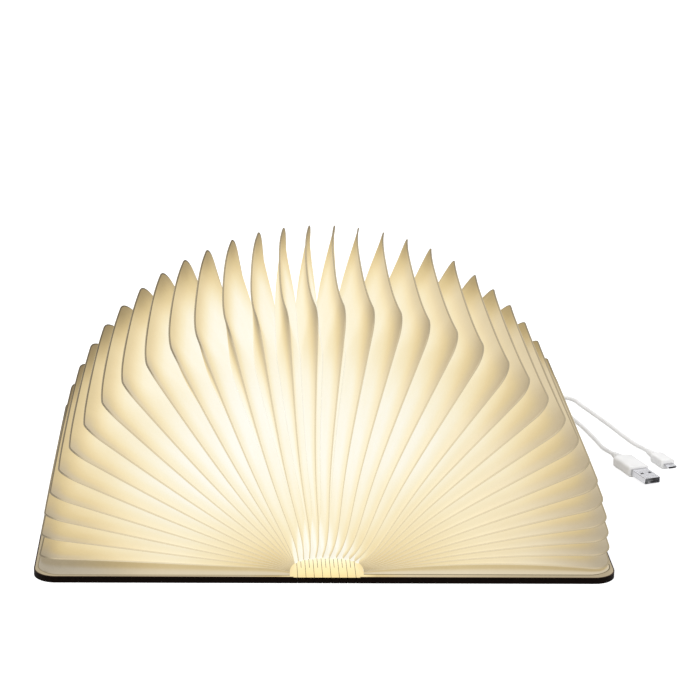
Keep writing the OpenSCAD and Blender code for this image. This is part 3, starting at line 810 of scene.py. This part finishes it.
foldStrip = {
    "across": 9,            # points from one foot to the next
    "atEnds": (0, 10, 9),   # mm from an end, from and to, and points there
    "beyond": (16, 2, 12),  # mm from an end, mm short of the middle, and points between
    "inset": 1.0,           # mm short of the pleats' ends
    "ridge": (-0.3, 1.4),   # height at its ends and along it, shares of the gap
    "climb": 7.0,           # mm from the ends to the full height
    "roundness": 0.8,       # power of the sine across it
    "thickness": 0.08,
}


def innerFold(a, b, middle):
    # a strip along the spine from one pleat's foot to the next, ridged up between them; at both
    # ends the ridge starts low and climbs, so that it closes the gap with a lit point
    across = np.linspace(0, 1, foldStrip["across"])
    start, short, count = foldStrip["beyond"]
    fromEnd = np.concatenate([np.linspace(*foldStrip["atEnds"]),
                              np.linspace(start, pleatHalf - short, count)])
    half = pleatHalf - foldStrip["inset"]
    along = np.concatenate([fromEnd - half, (half - fromEnd)[::-1]])
    footA = a["foot"] - a["sink"] * a["direction"]
    footB = b["foot"] - b["sink"] * b["direction"]
    low, high = (np.linalg.norm(footB - footA) * share for share in foldStrip["ridge"])
    height = low + (high - low) * smoothStep(0, foldStrip["climb"], half - np.abs(along))
    ridge = height[:, None] * np.sin(np.pi * across)[None, :] ** foldStrip["roundness"]
    x = footA[0] * (1 - across) + footB[0] * across + middle["direction"][0] * ridge
    z = footA[1] * (1 - across) + footB[1] * across + middle["direction"][1] * ridge
    grid = np.stack([x, np.broadcast_to(along[:, None], x.shape), z], -1)
    points, faces = sheetShell(grid, foldStrip["thickness"])
    return points, faces, np.broadcast_to(across, x.shape).ravel()


edgeLook = {
    "level": 0.57,          # of the lamplight near the hinge
    "outwards": -0.12,      # added towards the fore-edge
    "tip": -0.18,           # added on it,
    "leftTip": -0.2,        # there on pleats that lean left
    "rearTip": -0.15,       # and at its rear end
    "cool": 0.6,
    "nearHinge": 0.6,       # thickness near the hinge, share of that at the fore-edge
    "tailEnd": 0.3,         # the same at the end of the tail
}


def makeEdge(k):
    # the folded edge of a pleat: a round nose on its border, with sides that run in between
    # the leaves and taper there
    radius, depth, tail = bellows["creaseRadius"], bellows["creaseDepth"], bellows["creaseTail"]
    turn = np.linspace(-np.pi / 2, np.pi / 2, 7)
    thin = edgeLook["tailEnd"] * radius
    inwards = np.concatenate([[depth + tail, depth], radius * (1 - np.cos(turn)), [depth, depth + tail]])
    off = np.concatenate([[-thin, -radius], radius * np.sin(turn), [radius, thin]])
    way = valleyLine - crestLine
    way = way / np.linalg.norm(way, axis=1, keepdims=True)
    outline = crestLine[:, None, :] + way[:, None, :] * inwards[None, :, None]
    r, y = outline[..., 0], outline[..., 1]
    finest = edgeLook["nearHinge"]
    finer = finest + (1 - finest) * smoothStep(20, 110, crestLine[:, :1])
    grid = inPlane(planes[k], r, y, off * finer, k)
    rows, columns = r.shape
    first = np.arange(columns)
    last = (rows - 1) * columns + first
    faces = gridFaces(rows, columns, closeColumns=True).tolist() + [first.tolist(), last[::-1].tolist()]
    left, tip = smoothStep(0.0, 0.5, -planes[k]["direction"][0]), smoothStep(143, 152, r)
    onTip = edgeLook["tip"] + edgeLook["leftTip"] * left + edgeLook["rearTip"] * smoothStep(30, 80, y)
    level = edgeLook["level"] + edgeLook["outwards"] * smoothStep(90, 140, r) + onTip * tip
    obj = paperPiece("edge_%02d" % (k + 1), grid.reshape(-1, 3), faces, np.clip(level, 0, 1),
                     np.full(r.size, edgeLook["cool"]))
    blendPair(obj)
    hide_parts(pleatNames[k])


# light on the right (1) and left (-1) end leaf: its level, what is added outwards and inwards,
# its level on the flange, kept low there as a painted shadow line at the foot of the leaf, and
# how cool it is outwards: from which reach on, and how much
endLook = {
    1: {"level": 0.48, "outwards": -0.1, "inwards": 0.12, "flange": 0.02, "coolOutwards": (60, 0.1)},
    -1: {"level": 0.46, "outwards": -0.24, "inwards": 0.06, "flange": 0.16, "coolOutwards": (100, 0.6)},
}
endCool = {"inwards": 0.8, "flange": 0.4}


def makeEndLeaf(k, side, name):
    # the last leaf of the bellows: from the lowest crest down to the lining, where a narrow
    # flange of it is glued down beside the crest; it bows inwards on the way
    plane, look = planes[k], endLook[side]
    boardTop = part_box("lining_left")[1][2] / mm + bellows["endFoot"]
    u = np.linspace(0, 1, 9)
    grow, radius, bow = bellows["endGrow"], bellows["endRadius"], bellows["endBow"]
    growSides = bellows["endGrowSides"][side > 0]
    glued = borderOutline(pleatReach + grow, pleatHalf + growSides, radius, bellows["samples"])
    r, y = np.broadcast_to(crestLine[:, None, :], (len(crestLine), len(u), 2)).transpose(2, 0, 1)
    crest = inPlane(plane, r, y, np.full(r.shape, side * bellows["leafOffset"]), k)
    seam = np.stack([plane["foot"][0] + side * glued[:, 0], glued[:, 1],
                     np.full(len(glued), boardTop)], -1)[:, None, :]
    share = u[None, :, None]
    alongSide = np.abs(glued[:, 1:]) > pleatHalf - 2
    inwards = np.where(alongSide, (0, 1, 0) * -np.sign(glued[:, 1:]), (-side, 0, 0))[:, None, :]
    grid = crest * (1 - share) + seam * share + bow * np.sin(np.pi * share) * inwards
    flange = seam - inwards * np.array([0.15, 1.0])[None, :, None] * bellows["flange"]
    grid = np.concatenate([grid, flange - (0, 0, bellows["flangeSink"])], 1)
    inner = smoothStep(0.35, 0.75, u)[None, :]
    level = look["level"] + look["outwards"] * smoothStep(60, 150, r) + look["inwards"] * inner
    coolStart, coolMore = look["coolOutwards"]
    cool = np.clip(coolMore * smoothStep(coolStart, 150, r) + endCool["inwards"] * inner, 0, 1)
    # painted shadow: the flange's low level and cooler grey paint the shadow line at the foot of the leaf
    level = np.concatenate([level, np.full((len(r), 2), look["flange"])], 1)
    cool = np.concatenate([cool, np.full((len(r), 2), endCool["flange"])], 1)
    # the left one's grid is turned round, so that both have their outer face first
    grid, level, cool = (values[:, ::side] for values in (grid, level, cool))
    points, faces = sheetShell(grid, bellows["leafThickness"])
    obj = paperPiece(name, points, faces, np.tile(level.ravel(), 2), np.tile(cool.ravel(), 2))
    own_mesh(obj)
    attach(obj, pleatNames[k])


valleys = [makeValley(k) for k in range(len(planes) - 1)]
for number in range(len(planes)):
    makeEdge(number)
makeEndLeaf(0, -1, "endLeafLeft")
makeEndLeaf(len(planes) - 1, 1, "endLeafRight")
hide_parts("inner_folds")
print("bellows made")

# living hinge

hinge = {"columns": 8, "pitch": 5.13, "slot": 0.26, "rows": 4, "bridge": 5.0, "endBridge": 15.0,
         "liningThickness": 0.14, "bevel": 0.08, "bendStart": 6.0, "bendEnd": 19.5}  # mm


def hingeCells(low, high):
    # lines of a grid over the hinge and, for every cell, whether it is wood or slot
    columns, pitch, slot = hinge["columns"], hinge["pitch"], hinge["slot"]
    length = high[1] - low[1]
    closedLength = (length - 2 * hinge["endBridge"] - (hinge["rows"] - 1) * hinge["bridge"]) / hinge["rows"]
    step = closedLength + hinge["bridge"]
    centres = (np.arange(2 * columns - 1) - (columns - 1)) * pitch / 2
    isOpen = np.arange(2 * columns - 1) % 2 == 0
    xLines = np.unique(np.concatenate([[low[0], 0.0, high[0]], centres - slot / 2, centres + slot / 2]))
    closedStart = low[1] + hinge["endBridge"] + np.arange(hinge["rows"]) * step
    openStart = low[1] + hinge["endBridge"] + (np.arange(hinge["rows"] + 1) - 0.5) * step
    openEnd = openStart + closedLength
    openStart[0], openEnd[-1] = low[1], high[1]
    yLines = np.unique(np.round(np.concatenate([
        [low[1], high[1]], closedStart, closedStart + closedLength, openStart, openEnd]), 6))
    xMid, yMid = (xLines[1:] + xLines[:-1]) / 2, (yLines[1:] + yLines[:-1]) / 2
    inOpenRow = ((yMid[:, None] > openStart) & (yMid[:, None] < openEnd)).any(1)
    inClosedRow = ((yMid[:, None] > closedStart) & (yMid[:, None] < closedStart + closedLength)).any(1)
    nearColumn = np.abs(xMid[:, None] - centres[None, :]) < slot / 2
    cutOpen = nearColumn[:, isOpen].any(1)[:, None] & inOpenRow[None, :]
    cutClosed = nearColumn[:, ~isOpen].any(1)[:, None] & inClosedRow[None, :]
    return xLines, yLines, ~(cutOpen | cutClosed)


def latticeSheet(name, xLines, yLines, solid, z0, z1, finish):
    # a flat sheet of the solid cells between z0 and z1: top, bottom and a wall wherever a solid
    # cell meets an empty one
    nx, ny = len(xLines), len(yLines)
    x, y = np.meshgrid(xLines, yLines, indexing="ij")
    bottom = np.stack([x, y, np.full(x.shape, z0)], -1).reshape(-1, 3)
    top = np.stack([x, y, np.full(x.shape, z1)], -1).reshape(-1, 3)
    lift = nx * ny
    i, j = np.nonzero(solid)
    a, b, c, d = i * ny + j, (i + 1) * ny + j, (i + 1) * ny + j + 1, i * ny + j + 1
    faces = [np.stack([a, b, c, d], -1) + lift, np.stack([d, c, b, a], -1)]
    padded = np.pad(solid, 1)
    for shifted, first, second in (
            (padded[:-2, 1:-1], (0, 1), (0, 0)), (padded[2:, 1:-1], (1, 0), (1, 1)),
            (padded[1:-1, :-2], (0, 0), (1, 0)), (padded[1:-1, 2:], (1, 1), (0, 1))):
        i, j = np.nonzero(solid & ~shifted)
        p, q = (i + first[0]) * ny + j + first[1], (i + second[0]) * ny + j + second[1]
        faces.append(np.stack([p, q, q + lift, p + lift], -1))
    faces = np.concatenate(faces)
    used, packed = np.unique(faces, return_inverse=True)
    points = np.concatenate([bottom, top])[used]
    obj = dress(meshObject(name, points * mm, packed.reshape(faces.shape), smooth=False), finish)
    bevel = obj.modifiers.new("edge", "BEVEL")
    bevel.width, bevel.segments, bevel.limit_method = hinge["bevel"] * mm, 2, "ANGLE"
    return obj


def makeHinge():
    low, high = (np.array(c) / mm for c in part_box("spine_hinge"))
    xLines, yLines, solid = hingeCells(low, high)
    liningBottom = high[2] - hinge["liningThickness"]
    made = []
    for label, sign, cover in (("Left", -1, "cover_left_leaf"), ("Right", 1, "cover_right_leaf")):
        keep = xLines * sign >= -1e-6
        lines, cells = xLines[keep], solid[keep[1:] & keep[:-1]]
        wood = latticeSheet("hingeWood" + label, lines, yLines, cells, low[2], liningBottom, "wood")
        skin = latticeSheet("hingeLining" + label, lines, yLines, cells, liningBottom, high[2],
                            "lining")
        for piece in (wood, skin):
            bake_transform(piece)
        made += [wood, skin]
    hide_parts("spine_hinge")


makeHinge()
print("hinge made")

# floor, backdrop and light

studio = {
    "floor": 8.0,                 # m across
    "pale": (0.55, 0.55, 0.55),
    "backdropGlow": 0.74,         # what the camera sees of the floor besides the light on it
    "underSpine": (0.0205, 0.107),  # m, half of the patch that no light reaches, under the spine
    "worldStrength": 0.55,
    "key": (42.0, 1.6, (-0.9, -1.5, 1.9)),   # power W, size m, place m
    "fill": (16.0, 2.2, (1.6, -1.2, 1.1)),
    "rear": (14.0, 1.6, (0.2, 1.8, 1.6)),
}


def makeFloor():
    # white to the camera except where a shadow falls on it
    half = studio["floor"] / 2
    points = np.array([(-half, -half, 0), (half, -half, 0), (half, half, 0), (-half, half, 0)])
    floor = meshObject("floor", points, np.array([[0, 1, 2, 3]]), smooth=False)
    s = Shader("paleFloor")
    fine = s.noise(s.place(), 40.0, 3.0, 0.5)
    s.link(s.mix(fine, tuple(0.985 * c for c in studio["pale"]), studio["pale"]),
           s.body.inputs["Base Color"])
    s.set(Roughness=0.9, Emission_Strength=1.0)
    path = s.add("ShaderNodeLightPath")
    seen = s.math("MAXIMUM", path.outputs["Is Camera Ray"], path.outputs["Is Glossy Ray"])
    seen = s.math("MAXIMUM", seen, path.outputs["Is Transmission Ray"])
    place = s.axes()
    beyond = [s.math("GREATER_THAN", s.math("ABSOLUTE", place[axis]), reach)
              for axis, reach in zip("XY", studio["underSpine"])]
    seen = s.math("MULTIPLY", seen, s.math("MAXIMUM", *beyond))
    s.link(s.mix(seen, (0.0, 0.0, 0.0), (studio["backdropGlow"],) * 3), s.body.inputs["Emission Color"])
    s.body.inputs["Specular IOR Level"].default_value = 0.0
    floor.data.materials.append(s.material)


def makeLights():
    world = bpy.data.worlds.new("studio")
    bpy.context.scene.world = world
    world.use_nodes = True
    nodes, links = world.node_tree.nodes, world.node_tree.links
    background = nodes["Background"]
    background.inputs["Color"].default_value = (1, 1, 1, 1)
    path = nodes.new("ShaderNodeLightPath")
    strength = nodes.new("ShaderNodeMapRange")
    strength.inputs["To Min"].default_value = studio["worldStrength"]
    strength.inputs["To Max"].default_value = 1.0
    links.new(path.outputs["Is Camera Ray"], strength.inputs["Value"])
    links.new(strength.outputs["Result"], background.inputs["Strength"])
    for name in ("key", "fill", "rear"):
        power, size, place = studio[name]
        data = bpy.data.lights.new(name, "AREA")
        data.energy, data.size = power, size
        lamp = bpy.data.objects.new(name, data)
        lamp.location = place
        lamp.rotation_mode = "QUATERNION"
        lamp.rotation_quaternion = (Vector((0, 0, 0.08)) - Vector(place)).to_track_quat("-Z", "Y")
        bpy.context.scene.collection.objects.link(lamp)


makeFloor()
makeLights()
bpy.context.scene.view_settings.view_transform = "Standard"
print("studio made")
